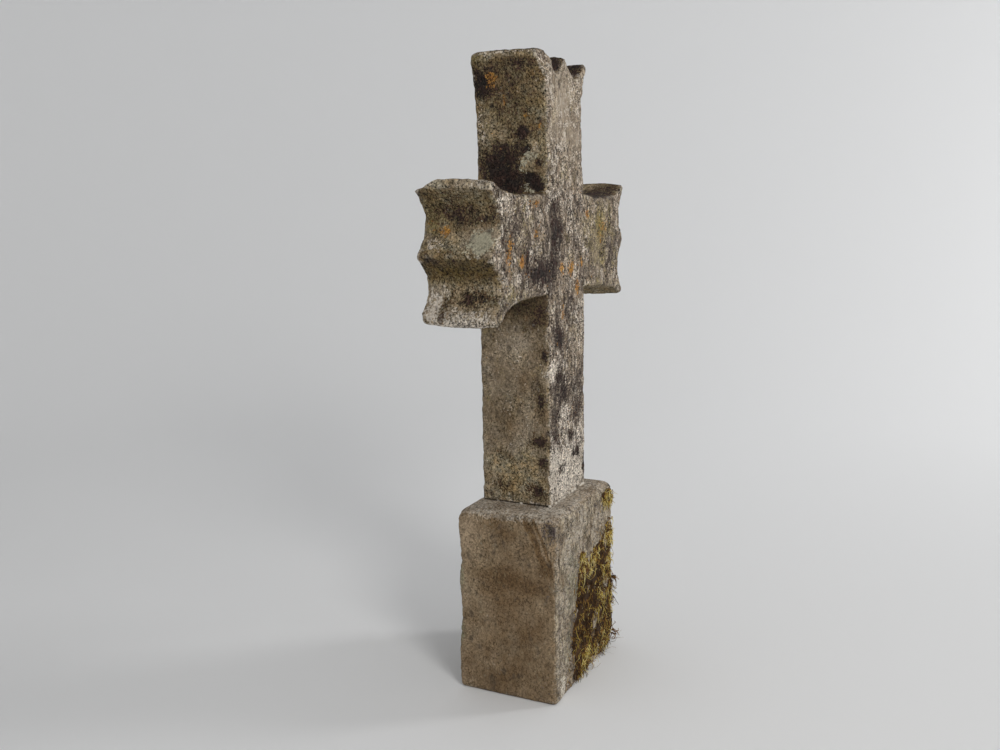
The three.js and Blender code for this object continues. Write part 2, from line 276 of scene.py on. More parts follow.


# Each growth's base on points that look each of the WAYS, its wild variation and its spots
CROSS_GROWTH = {
    # grime_and_shade: dark growth, and painted shade in its spots under the left arm and in the notch
    "grime_and_shade": ((0.2, 0.37, 0.8, 0.3, 0.5), 0.16, {
        "side": [
            # the top limb
            (5, 790, 80, 70, 0.3), (46, 800, 18, 17, 0.8), (-10, 828, 24, 12, 0.2), (26, 767, 10, 9, 0.3),
            (5, 838, 70, 5, -0.6), (46, 754, 14, 24, -0.5), (25, 742, 16, 12, -0.4), (24, 699, 36, 34, 0.95),
            (6, 672, 30, 16, 0.6), (-20, 706, 17, 26, -0.4), (-9, 742, 8, 8, 1.15), (-14, 719, 7, 7, 1.3),
            (-25, 748, 8, 9, 0.2), (-29, 703, 7, 8, 0.9), (-19, 685, 10, 8, 1.3), (-29, 674, 9, 9, 1.3),
            # the shaft's near side; the first two spots and the last, just under the left arm, are grime and
            # painted shade
            (8, 520, 60, 18, 0.4), (-30, 498, 16, 22, 0.3), (-35, 457, 8, 12, 0.7), (-30, 393, 8, 18, 0.85),
            (-28, 341, 17, 12, 0.58), (-33, 312, 9, 11, 0.85), (24, 320, 14, 11, 0.5),
            (27, 278, 14, 12, 0.5), (-25, 273, 18, 12, 0.6), (-34, 515, 10, 20, 0.3),
        ],
        # painted shade in the notch's recess
        "notch": [(0, 830, 90, 34, 0.9)],
        "end": [
            (0, 600, 90, 110, 0.15), (0, 637, 50, 15, 0.45), (-22, 611, 20, 15, -0.9),
            (34, 606, 14, 8, -0.5), (0, 573, 70, 13, -0.15), (-14, 543, 32, 12, 0.6), (30, 526, 8, 16, 0.5),
            (44, 540, 12, 26, -0.35), (0, 509, 70, 8, -0.6),
        ],
        "front": [
            (12, 750, 90, 85, -0.36), (-27, 612, 20, 46, 0.7), (-72, 566, 44, 18, 0.63),
            (-119, 588, 6, 12, 0.9), (-189, 610, 5, 8, 0.7), (-150, 615, 50, 60, 0.04),
            (177, 582, 16, 22, 0.4), (110, 625, 60, 40, -0.1), (5, 505, 50, 30, 0.12),
            (-20, 474, 16, 20, 0.4), (-21, 423, 9, 9, 0.6), (5, 400, 70, 18, 0.28), (-33, 362, 16, 24, 0.3),
            (40, 366, 22, 20, 0.25), (19, 335, 9, 10, 0.7), (30, 308, 5, 6, 0.75), (47, 306, 7, 8, 0.75),
            (71, 287, 8, 18, 0.9), (-15, 298, 12, 9, 0.6), (5, 280, 90, 46, -0.25),
        ],
    }),
    # damp_and_shade: a smooth darkening, partly damp stains and partly painted shade; its base on undersides
    # is painted shade
    "damp_and_shade": ((0.15, 0.1, 0.5, 0.4, 0.2), 0.16, {
        "side": [
            # the first two spots, on the shaft just under the left arm, are painted shade
            (4, 524, 70, 24, 0.75), (-24, 502, 34, 24, 0.4), (24, 385, 34, 46, 0.5), (5, 800, 70, 60, 0.55),
            (20, 700, 60, 40, 0.3),
        ],
        # painted shade in the notch's recess
        "notch": [(0, 830, 90, 34, 0.6)],
        "end": [
            # the first spot, just below the ridge of the left arm's end, is painted shade
            (0, 581, 90, 15, 0.95), (0, 638, 60, 18, 0.5), (40, 536, 20, 26, -0.3), (0, 505, 90, 8, -0.7),
        ],
    }),
    "faded": ((0, 0, 0, 0, 0.1), 0.3, {
        "side": [
            (40, 415, 12, 13, 0.5), (-2, 350, 14, 22, 0.45), (5, 472, 32, 22, 0.5), (49, 267, 10, 10, 0.35),
            (-5, 272, 14, 10, 0.3), (-18, 716, 16, 20, 0.4), (46, 760, 14, 26, 0.35),
            (24, 742, 16, 12, 0.35),
        ],
        "end": [
            (0, 620, 70, 16, 0.3), (5, 530, 70, 26, 0.35), (45, 592, 16, 10, 0.4), (0, 554, 70, 9, 0.3),
            (-20, 672, 50, 10, 0.5),
        ],
        "front": [
            (14, 770, 80, 80, 0.6), (39, 459, 18, 30, 0.5), (67, 365, 9, 24, 0.5), (150, 600, 70, 70, 0.3),
        ],
    }),
    "pale": ((0.05, 0.27, 0, -0.1, 0.3), 0.14, {
        "side": [
            (52, 744, 8, 30, 0.4), (-34, 664, 14, 6, 0.9), (-37, 429, 5, 8, 0.6), (-10, 254, 60, 4, 0.5),
            (5, 839, 70, 3, 0.6),
        ],
        "end": [
            (34, 606, 14, 8, 0.6), (42, 538, 16, 26, 0.55), (-6, 522, 60, 16, 0.55), (0, 507, 90, 9, 1),
            (-34, 678, 16, 6, 0.5),
        ],
        "front": [
            (-193, 600, 9, 70, 0.25), (-36, 658, 22, 10, 0.4), (150, 600, 70, 70, -0.2),
            (-107, 590, 7, 11, 0.8), (-115, 645, 8, 9, 0.6), (-142, 565, 8, 8, 0.6),
            (-19, 441, 20, 18, 0.35), (-42, 427, 9, 15, 0.8), (1, 369, 22, 20, 0.35), (7, 280, 90, 50, 0.9),
            (-36, 325, 14, 24, 0.3), (55, 500, 30, 30, 0.25), (40, 316, 40, 30, 0.35),
        ],
    }),
    "olive": ((0.3, 0.2, 0.2, 0.4, 0.3), 0.25, {
        "side": [
            (54, 830, 14, 18, 0.8), (-5, 776, 34, 18, 0.3), (50, 495, 14, 26, 0.5), (0, 400, 90, 130, -0.3),
        ],
        "end": [(44, 635, 20, 24, 0.7), (0, 575, 80, 16, 0.25)],
        "front": [
            (-162, 546, 40, 14, 0.6), (-194, 633, 16, 30, 0.3), (150, 530, 90, 16, 0.5),
            (150, 610, 60, 60, 0.8), (110, 600, 30, 30, 0.4), (-95, 660, 40, 8, 0.4),
            (-130, 610, 60, 60, 0.25),
        ],
    }),
    "lichen": ((-0.2, -0.2, -0.2, -0.3, 0), 0.1, {
        "side": [
            (-10, 700, 11, 14, 0.75), (-20, 715, 12, 10, 0.7), (-13, 674, 9, 8, 0.7), (-22, 665, 8, 7, 0.75),
        ],
        "end": [(-22, 611, 23, 18, 1.4)],
    }),
    "ochre": ((-0.1, -0.05, -0.1, -0.3, 0), 0.16, {
        "side": [
            (30, 812, 10, 7, 1), (32, 801, 10, 7, 0.8), (16, 780, 5, 12, 0.75), (-13, 762, 4, 6, 0.9),
            (-32, 748, 4, 5, 0.9), (54, 672, 5, 10, 0.8),
        ],
        "end": [(26, 622, 8, 7, 0.9), (44, 632, 18, 18, 0.3)],
        "front": [
            (-171, 600, 11, 22, 0.85), (-134, 584, 12, 11, 1.1), (-93, 616, 10, 9, 0.75),
            (-8, 569, 10, 9, 0.95), (25, 563, 12, 12, 0.85), (63, 572, 8, 8, 0.9), (46, 538, 9, 15, 0.9),
            (-4, 508, 8, 16, 0.85), (86, 636, 10, 8, 1), (139, 609, 24, 22, 0.6), (-88, 653, 18, 6, 0.8),
        ],
    }),
    "grit": ((0.55, 1, 0.8, 1, 0.7), 0.3, {
        "side": [(5, 750, 90, 110, 0.6), (0, 275, 90, 50, 0.45)],
        "end": [(0, 600, 90, 110, 0.45), (-22, 611, 23, 18, -0.6), (44, 530, 20, 30, -0.6)],
        "front": [(12, 775, 90, 80, -0.66)],
    }),
}

PLINTH_GROWTH = {
    "damp_and_shade": ((0.3, 0.1, 0, 0.3, 0.2), 0.5, {
        "plinth_side": [
            (-2, 190, 18, 60, 0.4), (-15, 110, 40, 70, 0.4), (-33, 243, 6, 13, 0.5), (-39, 228, 5, 13, 0.5),
            (-46, 213, 4, 11, 0.5), (-60, 186, 18, 13, 0.8), (-48, 155, 20, 16, 0.4),
            (50, 215, 36, 30, -0.5), (55, 50, 26, 60, -0.3), (20, 25, 40, 16, 0.2), (-10, 60, 60, 60, 0.2),
        ],
    }),
    "grime_and_shade": ((-0.1, 0.28, 0.15, 0.3, 0.35), 0.14, {
        "plinth_side": [
            (-63, 238, 16, 19, 0.85), (-60, 150, 14, 24, 0.4), (28, 104, 9, 8, 0.5), (-62, 30, 12, 40, 0.35),
        ],
        "plinth_front": [(0, 100, 80, 60, 0.2)],
    }),
    "faded": ((0, 0, 0, 0, 0.1), 0.3, {
        "plinth_side": [
            (-50, 236, 6, 22, 0.7), (-60, 208, 12, 9, 0.7), (20, 55, 5, 9, 1), (55, 225, 30, 28, 0.6),
            (62, 165, 14, 60, 0.35), (60, 26, 16, 26, 0.35),
        ],
    }),
    "pale": ((-0.2, 0.36, 0.65, 0, 0.3), 0.14, {
        "plinth_side": [(0, 256, 90, 11, 1.3)],
        "plinth_front": [(-20, 215, 90, 26, 0.15)],
    }),
    "olive": ((0.05, 0.25, 0.1, 0.3, 0.4), 0.15, {
        "plinth_side": [(67, 165, 8, 30, 1), (67, 82, 8, 30, 1)],
        "plinth_front": [(-45, 150, 30, 60, 0.5), (-60, 60, 16, 60, 0.35)],
    }),
    "lichen": ((-0.3,) * len(WAYS), 0.05, {"plinth_front": [(-84, 14, 12, 24, 1.4)]}),
    "ochre": ((-0.3,) * len(WAYS), 0.05, {}),
    "grit": ((0.6, 0.65, 0.7, 0.6, 0.7), 0.15, {
        "plinth_side": [(0, 248, 90, 8, 0.3), (-64, 225, 14, 30, 0.3)],
    }),
}


# The stones

WEAR_PATCH = 38 * MM
WEAR_NICK = 9 * MM
NICK_SHARE = 0.5
CHIP_SIZE = 17 * MM
ARRIS_ROUNDS = 6  # of smoothing, which a sharp edge stands out of
UPRIGHT = np.array([1, 1, 0.6])  # makes strokes and pits taller than wide
STROKE_SIZE = 12 * MM
GRIT_SIZE = 5 * MM
PIT_SPACING = 10 * MM
PIT_PATCH = 40 * MM
PIT_DEPTH = 1.6  # as a share of the relief
WAVE_SIZE = 62 * MM
WAVE_HEIGHT = 0.8  # millimetres


def wear(piece, rounding, chipping, seed):
    """Rounds a stone's edges unevenly, breaks chips out of them and stores how sharp each point's edge is."""
    mesh = piece.data
    points = points_of(mesh)
    edges = edges_of(mesh)
    softer = smoothed(points, edges, rounding)
    broken = smoothed(softer, edges, chipping)
    patches = grain(points, WEAR_PATCH, 3, seed) + NICK_SHARE * grain(points, WEAR_NICK, 2, seed + 1)
    share = ease(patches, -0.7, 0.5)
    chips = ease(grain(points, CHIP_SIZE, 3, seed + 2), 0.3, 0.5)
    worn = points + (softer - points) * share[:, None]
    worn += (broken - worn) * chips[:, None]
    move(mesh, worn)
    stands_out = worn - smoothed(worn, edges, ARRIS_ROUNDS)
    sharpness = np.einsum("ij,ij->i", stands_out, points_of(mesh, "normal"))
    store(mesh, "arris", sharpness / MM)


def roughen(piece, dressed, hewn, lowest, seed):
    """Gives a stone's faces their relief, in millimetres: dressed on most faces, hewn on front and back. It
    stores how rough each point is and how deep it lies; the depth sets the material's painted shade in pits."""
    mesh = piece.data
    points = points_of(mesh)
    normals = points_of(mesh, "normal")
    rough = ease(np.abs(normals[:, 1]), 0.55, 0.9)
    store(mesh, "rough", rough)
    upright = points * UPRIGHT
    strokes = grain(upright, STROKE_SIZE, 3, seed + 1)
    grit = grain(upright, GRIT_SIZE, 2, seed + 2)
    pitted = ease(grain(points, PIT_PATCH, 2, seed + 4), -0.2, 0.4)
    holes = pits(upright, PIT_SPACING, seed + 3) * pitted
    # how deep each point lies, which sets the painted shade in pits
    store(mesh, "deep", 1.3 * holes - 0.7 * strokes - 0.5 * grit)
    height = dressed + (hewn - dressed) * rough
    waves = WAVE_HEIGHT * grain(points, WAVE_SIZE, 2, seed)
    relief = waves + height * (strokes + grit - PIT_DEPTH * holes)
    points += normals * ((relief + SKIN) * MM)[:, None]
    points[:, 2] = np.maximum(points[:, 2], lowest)
    move(mesh, points)


# A flake at the plinth's near upright edge: its inner edge runs straight down the near side between two
# places, across and up, in millimetres, with thin lines beside it
FLAKE_TOP = np.array([-25, 250])
FLAKE_FOOT = np.array([-54, 192])
FLAKE_LINES = (0, 4, 11)  # millimetres from the flake's inner edge
FLAKE_WIDTH = 1.7  # of a line, in millimetres
FLAKE_WANDER = 2.5  # how far it wanders
FLAKE_WAVE = 25 * MM
FLAKE_SEED = 61
FLAKE_REACH = 12 * MM  # from the plinth's near side
FLAKE_GROOVE = 1.5 * MM
FLAKE_DAMP = 1.2


def flake_lines(points):
    """1 on the thin lines beside the flake's inner edge, fading at their ends, 0 elsewhere."""
    run = FLAKE_FOOT - FLAKE_TOP
    length = np.hypot(*run)
    across = points[:, 1] / MM - FLAKE_TOP[0]
    up = points[:, 2] / MM - FLAKE_TOP[1]
    along = (across * run[0] + up * run[1]) / length ** 2
    aside = (across * run[1] - up * run[0]) / length
    aside += FLAKE_WANDER * grain(points, FLAKE_WAVE, 3, FLAKE_SEED)
    lines = sum(np.exp(-((aside - line) / FLAKE_WIDTH) ** 2) for line in FLAKE_LINES)
    fade = ease(along, -0.1, 0.1) * (1 - ease(along, 0.8, 1.15))
    return lines * fade * (points[:, 0] < PLINTH_LOW[0] + FLAKE_REACH)


def groove_flake(piece):
    mesh = piece.data
    points = points_of(mesh)
    points[:, 0] += FLAKE_GROOVE * flake_lines(points)
    move(mesh, points)


MORTAR_SPACING = 2 * MM
MORTAR_TOP = 4 * MM  # above the plinth
MORTAR_FOOT = MM  # below its top
MORTAR_SIDE = 2.2 * MM  # how far it lies behind the cross's faces, apart from crumbs
MORTAR_LUMP = 5 * MM
MORTAR_UNEVEN = 0.5 * MM
MORTAR_SEED = 71
CRUMB_SIZE = 7 * MM
CRUMB_STANDS = 3.0 * MM  # how far it comes out of the joint
CRUMB_DROP = 1.2 * MM  # how much lower its top is
FRONT_CRUMBS = 0.4  # more of them at the front
CORNER_SHARE = 0.98  # a place this close to two sides counts as their corner


def make_mortar(material):
    """The thin bed of mortar under the cross, with crumbs that stand out of the joint at its front."""
    half_x, half_y = FOOT_HALF
    corners = [(-half_x, -half_y), (half_x, -half_y), (half_x, half_y), (-half_x, half_y), (-half_x, -half_y)]
    outline = []
    for (ax, ay), (bx, by) in zip(corners, corners[1:]):
        steps = round(math.hypot(bx - ax, by - ay) / MORTAR_SPACING)
        outline += [(ax + (bx - ax) * i / steps, ay + (by - ay) * i / steps) for i in range(steps)]
    places = np.array([(x, y, 0) for x, y in outline])
    at_front = ease(-places[:, 1] / half_y, 0.9, 1.0)
    crumbs = ease(grain(places, CRUMB_SIZE, 3, MORTAR_SEED) + FRONT_CRUMBS * at_front, 0.25, 0.5)
    uneven = MORTAR_UNEVEN * grain(places, MORTAR_LUMP, 2, MORTAR_SEED + 1)
    side = MORTAR_SIDE - CRUMB_STANDS * crumbs + uneven
    inwards = places[:, :2] / np.array([half_x, half_y])
    largest = np.abs(inwards).max(axis=1)[:, None]
    inwards = np.where(np.abs(inwards) > CORNER_SHARE * largest, np.sign(inwards), 0)
    flat = places[:, :2] - inwards * side[:, None] + np.array(FOOT_MIDDLE)
    count = len(flat)
    bottom = np.column_stack([flat, np.full(count, PLINTH_HIGH[2] - MORTAR_FOOT)])
    top = np.column_stack([flat, np.full(count, PLINTH_HIGH[2] + MORTAR_TOP) - CRUMB_DROP * crumbs])
    caps = [tuple(reversed(range(count))), tuple(range(count, 2 * count))]
    mesh = bpy.data.meshes.new("mortar")
    mesh.from_pydata(np.concatenate([bottom, top]).tolist(), [], wall_faces(2, count) + caps)
    store(mesh, "crumb", np.tile(crumbs, 2))
    dress(new_object("mortar", mesh), material, "plinth_stone")


# Materials

CELL_BEND = 1.2  # how far the edges of cells are bent, as a share of their size
CELL_DETAIL = 3  # of the noise that bends them
CREASE_WIDTH = 0.06  # as a share of the noise's range


class Graph:
    """A short way to write a material's nodes."""

    def __init__(self, name):
        self.material = bpy.data.materials.new(name)
        self.material.use_nodes = True
        self.tree = self.material.node_tree
        self.tree.nodes.clear()
        self.place = self.node("ShaderNodeTexCoord").outputs["Object"]

    def node(self, kind, inputs=None, **settings):
        made = self.tree.nodes.new(kind)
        for key, value in settings.items():
            setattr(made, key, value)
        for key, value in (inputs or {}).items():
            if isinstance(value, bpy.types.NodeSocket):
                self.tree.links.new(value, made.inputs[key])
            else:
                made.inputs[key].default_value = value
        return made

    def calc(self, operation, *values):
        return self.node("ShaderNodeMath", dict(enumerate(values)), operation=operation).outputs[0]

    def moved(self, place, factor, shift):
        """A place times a factor along each axis, plus a shift."""
        inputs = {0: place, 1: factor, 2: shift}
        return self.node("ShaderNodeVectorMath", inputs, operation="MULTIPLY_ADD").outputs[0]

    def noise(self, size, detail, roughness, shift, wide=1.0, tall=1.0):
        """Noise of 0 to 1 with lumps of that size in metres, stretched along X and up."""
        place = self.moved(self.place, (1 / wide, 1, 1 / tall), (shift, -shift, shift / 2))
        inputs = {"Vector": place, "Scale": 1 / size, "Detail": detail, "Roughness": roughness}
        return self.node("ShaderNodeTexNoise", inputs).outputs["Fac"]

    def cells(self, size, shift, wide, tall=1.0):
        """A value of 0 to 1 for each of many crisp grains of that size in metres, with bent edges, stretched
        along X and up."""
        place = self.moved(self.place, (1 / wide, 1, 1 / tall), (shift, shift, -shift))
        inputs = {"Vector": place, "Scale": 1 / size, "Detail": CELL_DETAIL}
        wave = self.node("ShaderNodeTexNoise", inputs).outputs["Color"]
        place = self.moved(wave, (CELL_BEND * size,) * 3, place)
        return self.node("ShaderNodeTexVoronoi", {"Vector": place, "Scale": 1 / size}).outputs["Color"]

    def field(self, name):
        return self.node("ShaderNodeAttribute", attribute_name=name).outputs["Fac"]

    def scaled(self, value, factor, offset=0.0):
        return self.calc("MULTIPLY_ADD", value, factor, offset)

    def creases(self, size, detail, roughness, shift, wide, tall):
        """0 on thin winding lines about that far apart in metres, 1 between them."""
        level = self.noise(size, detail, roughness, shift, wide, tall)
        away = self.calc("ABSOLUTE", self.calc("SUBTRACT", level, 0.5))
        return self.step(away, 0.0, CREASE_WIDTH)

    def step(self, value, low, high):
        """0 below low, 1 above high, smooth between them."""
        inputs = {"Value": value, "From Min": low, "From Max": high}
        return self.node("ShaderNodeMapRange", inputs, interpolation_type="SMOOTHSTEP").outputs["Result"]

    def blend(self, share, first, second):
        """A number between two numbers."""
        return self.node("ShaderNodeMix", {0: share, 2: first, 3: second}, data_type="FLOAT").outputs[0]

    def mix(self, share, first, second, blend="MIX"):
        """A colour between two colours."""
        inputs = {0: share, 6: first, 7: second}
        return self.node("ShaderNodeMix", inputs, data_type="RGBA", blend_type=blend).outputs[2]

    def ramp(self, share, stops):
        made = self.node("ShaderNodeValToRGB", {0: share})
        elements = made.color_ramp.elements
        while len(elements) < len(stops):
            elements.new(0.5)
        for element, (place, colour) in zip(elements, stops):
            element.position = place
            element.color = (*colour, 1)
        return made.outputs["Color"]

    def surface(self, colour, inputs):
        shader = self.node("ShaderNodeBsdfPrincipled", {"Base Color": colour, **inputs})
        output = self.node("ShaderNodeOutputMaterial")
        self.tree.links.new(shader.outputs[0], output.inputs["Surface"])
        return self.material


# Noise in the stones: size, detail, roughness and shift
STONE_NOISE = {
    "tones": (50 * MM, 5, 0.65, 2.9),
    "lively": (17 * MM, 6, 0.7, 4.3),
    "lumps": (13 * MM, 6, 0.72, 0.31),
    "mottle": (9 * MM, 5, 0.7, 3.7),
    "strokes": (7.5 * MM, 6, 0.75, 0.83),
    "crust": (6.5 * MM, 6, 0.75, 5.1),
    "creases": (4.2 * MM, 2, 0.6, 0.57),
    "stipple": (2.7 * MM, 1, 0.6, 0.43),
}
STROKES_TALL = 1.7  # how much taller than wide they are
STROKES_SHARE = 0.5  # of the edges of grime, with the rest from lumps
STROKES_ROUGH = 0.3  # and more where the stone is rough
SPECK_SIZE = 2.0 * MM
SPECK_SHIFT = 1.37
MOSAIC_SIZE = 4 * MM  # of the flakes
MOSAIC_SHIFT = 0.9
GRAIN_WIDE = 1.4  # how much wider than tall the grains on the front and back are

# What counts in how growth covers the stone, the level where it covers half, and its edges beside that
COVER_STIPPLE = 1.2
COVER_SPECKS = 0.5
COVER_TEXTURE = 2.3
COVER_LEVEL = 2.5
COVER_EDGES = {
    "olive": (-0.2, 0.5),
    "thin_grime_and_shade": (-0.08, 0.1),
    "thick_grime_and_shade": (0.2, 0.32),
    "lichen": (-0.05, 0.15),
    "ochre": (-0.1, 0.3),
}
TWO_TONES = (0.4, 0.6)  # where in a noise's range one of two tones gives way to the other
FRONT_GRIME = 0.85  # share of the front's own grime on rough faces
RUST = (0.24, 0.105, 0.03, 1)
CHALK_LUMPS = 3.0  # how much lumps break up the pale arrises
CREASE_SHADE = 0.5  # how much creases and specks lighten the grit; the creases' dark lines are fine cracks and painted shade in them
SPECK_GRIT = 0.8
BUMP_CREASES = 0.4  # share of creases in the bumps, with the rest from strokes
BUMP_DEPTH = 1.5 * MM


def stone_material(name, look):
    """Sandstone: broad tones, a mosaic of flakes on rough faces, growth and painted shade where the fields
    say, painted shade in pits, and grains.
    """
    g = Graph(name)
    rough = g.field("rough")
    grit = g.field("grit")
    lumps = g.noise(*STONE_NOISE["lumps"])
    strokes = g.noise(*STONE_NOISE["strokes"], tall=STROKES_TALL)
    crust = g.noise(*STONE_NOISE["crust"], tall=look["crust_tall"])
    stipple = g.noise(*STONE_NOISE["stipple"], wide=GRAIN_WIDE)
    specks = g.cells(SPECK_SIZE, SPECK_SHIFT, GRAIN_WIDE)
    creases = g.creases(*STONE_NOISE["creases"], wide=look["crease_wide"], tall=look["crease_tall"])
    ragged = g.blend(g.scaled(rough, STROKES_ROUGH, STROKES_SHARE), lumps, strokes)

    def cover(field, texture, low, high):
        """Where a growth covers the stone: half of it where the amount is a half, in lumps and specks."""
        level = g.scaled(stipple, COVER_STIPPLE, g.scaled(specks, COVER_SPECKS, g.field(field)))
        level = g.scaled(texture, COVER_TEXTURE, level)
        return g.step(level, COVER_LEVEL + low, COVER_LEVEL + high)

    colour = g.ramp(g.noise(*STONE_NOISE["tones"]), look["tones"])
    lively = g.ramp(g.noise(*STONE_NOISE["lively"]), look["lively"])
    colour = g.mix(g.step(grit, 0.5, 1.0), colour, lively)
    mottle = g.scaled(g.noise(*STONE_NOISE["mottle"]), look["mottle"], 1 - look["mottle"] / 2)
    colour = g.mix(1.0, colour, mottle, "MULTIPLY")
    flakes = g.cells(MOSAIC_SIZE, MOSAIC_SHIFT, GRAIN_WIDE, look["flake_tall"])
    colour = g.mix(g.scaled(rough, look["flake_share"]), colour, g.ramp(flakes, look["flakes"]))
    colour = g.mix(cover("olive", lumps, *COVER_EDGES["olive"]), colour, look["olive"])
    colour = g.mix(g.field("faded"), colour, look["faded"])
    colour = g.mix(cover("pale", crust, -look["pale_edge"], look["pale_edge"]), colour, look["pale"])
    # smooth darkening where damp_and_shade lies: damp stains, and painted shade under the left arm, below the
    # end's ridge, in the notch and on undersides
    colour = g.mix(g.field("damp_and_shade"), colour, look["damp_and_shade"], "MULTIPLY")
    # thin and thick cover where grime_and_shade lies: grime, and painted shade under the left arm and in the
    # notch
    thin = g.mix(g.step(crust, *TWO_TONES), look["thin_grime_and_shade"], look["olive_grime_and_shade"])
    thin = g.mix(g.scaled(rough, FRONT_GRIME), thin, look["front_grime"])
    colour = g.mix(cover("grime_and_shade", ragged, *COVER_EDGES["thin_grime_and_shade"]), colour, thin)
    thick = g.mix(g.step(lumps, *TWO_TONES), look["thick_grime_and_shade"], look["maroon_grime_and_shade"])
    colour = g.mix(cover("grime_and_shade", ragged, *COVER_EDGES["thick_grime_and_shade"]), colour, thick)
    colour = g.mix(cover("lichen", lumps, *COVER_EDGES["lichen"]), colour, look["lichen"])
    # painted shade in the relief's pits and hollows, where the deep field is high
    pit_shade = g.scaled(g.step(g.field("deep"), 0.25, 1.0), look["pit_shade_share"])
    colour = g.mix(pit_shade, colour, look["pit_shade"])
    rust = g.mix(g.step(strokes, *TWO_TONES), RUST, look["ochre"])
    colour = g.mix(cover("ochre", crust, *COVER_EDGES["ochre"]), colour, rust)
    chalk = g.step(g.scaled(lumps, CHALK_LUMPS, g.field("arris")), 1.8, 2.4)
    colour = g.mix(g.scaled(chalk, look["arris_share"]), colour, look["arris"])
    # dark lines along the creases, the fine cracks' own colour and painted shade in them, and grain from the
    # specks
    grain_and_crease_shade = g.scaled(creases, CREASE_SHADE * look["grit"], 1 - SPECK_GRIT * look["grit"])
    grain_and_crease_shade = g.scaled(specks, SPECK_GRIT * look["grit"], grain_and_crease_shade)
    colour = g.mix(grit, colour, grain_and_crease_shade, "MULTIPLY")
    height = g.blend(BUMP_CREASES, strokes, creases)
    bump = g.node("ShaderNodeBump", {"Height": height, "Strength": look["bump"], "Distance": BUMP_DEPTH})
    inputs = {"Normal": bump.outputs[0], "Roughness": 0.95, "Specular IOR Level": 0.2}
    return g.surface(colour, inputs)


CROSS_LOOK = {
    "tones": [
        (0.32, (0.21, 0.148, 0.088)), (0.46, (0.26, 0.2, 0.133)), (0.58, (0.295, 0.238, 0.168)),
        (0.7, (0.245, 0.215, 0.168)),
    ],
    "lively": [
        (0.3, (0.19, 0.118, 0.053)), (0.42, (0.295, 0.212, 0.108)), (0.52, (0.31, 0.25, 0.152)),
        (0.6, (0.26, 0.235, 0.168)), (0.72, (0.38, 0.32, 0.22)),
    ],
    "mottle": 2.2,
    "crease_wide": 1.4,
    "crease_tall": 1.25,
    "crust_tall": 1.5,
    "flake_tall": 2.8,
    "flakes": [
        (0.15, (0.04, 0.033, 0.03)), (0.32, (0.15, 0.112, 0.085)), (0.5, (0.275, 0.215, 0.158)),
        (0.68, (0.365, 0.303, 0.238)), (0.88, (0.56, 0.5, 0.425)),
    ],
    "flake_share": 0.9,
    "olive": (0.25, 0.2, 0.08, 1),
    "faded": (0.4, 0.33, 0.245, 1),
    "pale": (0.57, 0.51, 0.435, 1),
    "pale_edge": 0.13,
    # multiplied in where damp_and_shade lies: damp stains and painted shade
    "damp_and_shade": (0.43, 0.375, 0.295, 1),
    "lichen": (0.345, 0.32, 0.235, 1),
    # colours of grime, also used for painted shade under the left arm and in the notch
    "thin_grime_and_shade": (0.12, 0.075, 0.04, 1),
    "olive_grime_and_shade": (0.105, 0.085, 0.045, 1),
    "front_grime": (0.1, 0.08, 0.068, 1),
    "thick_grime_and_shade": (0.022, 0.018, 0.016, 1),
    "maroon_grime_and_shade": (0.042, 0.023, 0.018, 1),
    # painted shade in pits
    "pit_shade": (0.045, 0.034, 0.028, 1),
    "pit_shade_share": 0.8,
    "ochre": (0.37, 0.195, 0.045, 1),
    "arris": (0.5, 0.45, 0.375, 1),
    "arris_share": 0.5,
    "grit": 2.0,
    "bump": 0.8,
}

PLINTH_LOOK = {
    "tones": [
        (0.32, (0.18, 0.122, 0.068)), (0.46, (0.235, 0.168, 0.1)), (0.58, (0.27, 0.2, 0.125)),
        (0.7, (0.265, 0.21, 0.145)),
    ],
    "lively": [
        (0.32, (0.175, 0.12, 0.07)), (0.46, (0.23, 0.168, 0.102)), (0.58, (0.27, 0.205, 0.13)),
        (0.7, (0.26, 0.21, 0.15)),
    ],
    "mottle": 1.0,
    "crease_wide": 2.6,
    "crease_tall": 1.7,
    "crust_tall": 0.5,
    "flake_tall": 4.0,
    "flakes": [
        (0.1, (0.075, 0.06, 0.043)), (0.3, (0.175, 0.138, 0.096)), (0.5, (0.265, 0.213, 0.145)),
        (0.85, (0.46, 0.395, 0.29)),
    ],
    "flake_share": 0.85,
    "olive": (0.205, 0.2, 0.125, 1),
    "faded": (0.36, 0.275, 0.185, 1),
    "pale": (0.41, 0.365, 0.305, 1),
    "pale_edge": 0.4,
    "damp_and_shade": (0.54, 0.46, 0.37, 1),
    "lichen": (0.52, 0.47, 0.39, 1),
    "thin_grime_and_shade": (0.125, 0.098, 0.088, 1),
    "olive_grime_and_shade": (0.12, 0.1, 0.075, 1),
    "front_grime": (0.12, 0.1, 0.08, 1),
    "thick_grime_and_shade": (0.05, 0.04, 0.036, 1),
    "maroon_grime_and_shade": (0.07, 0.052, 0.047, 1),
    # painted shade in pits
    "pit_shade": (0.07, 0.055, 0.04, 1),
    "pit_shade_share": 0.6,
    "ochre": (0.4, 0.21, 0.045, 1),
    "arris": (0.36, 0.315, 0.26, 1),
    "arris_share": 0.3,
    "grit": 1.6,
    "bump": 0.6,
}


# the darkest tone is painted shade in the joint, where the mortar lies back; the paler ones are the mortar's
# own colour
MORTAR_AND_JOINT_SHADE_TONES = [(0.3, (0.05, 0.04, 0.03)), (0.7, (0.30, 0.26, 0.20)), (1.0, (0.62, 0.57, 0.49))]


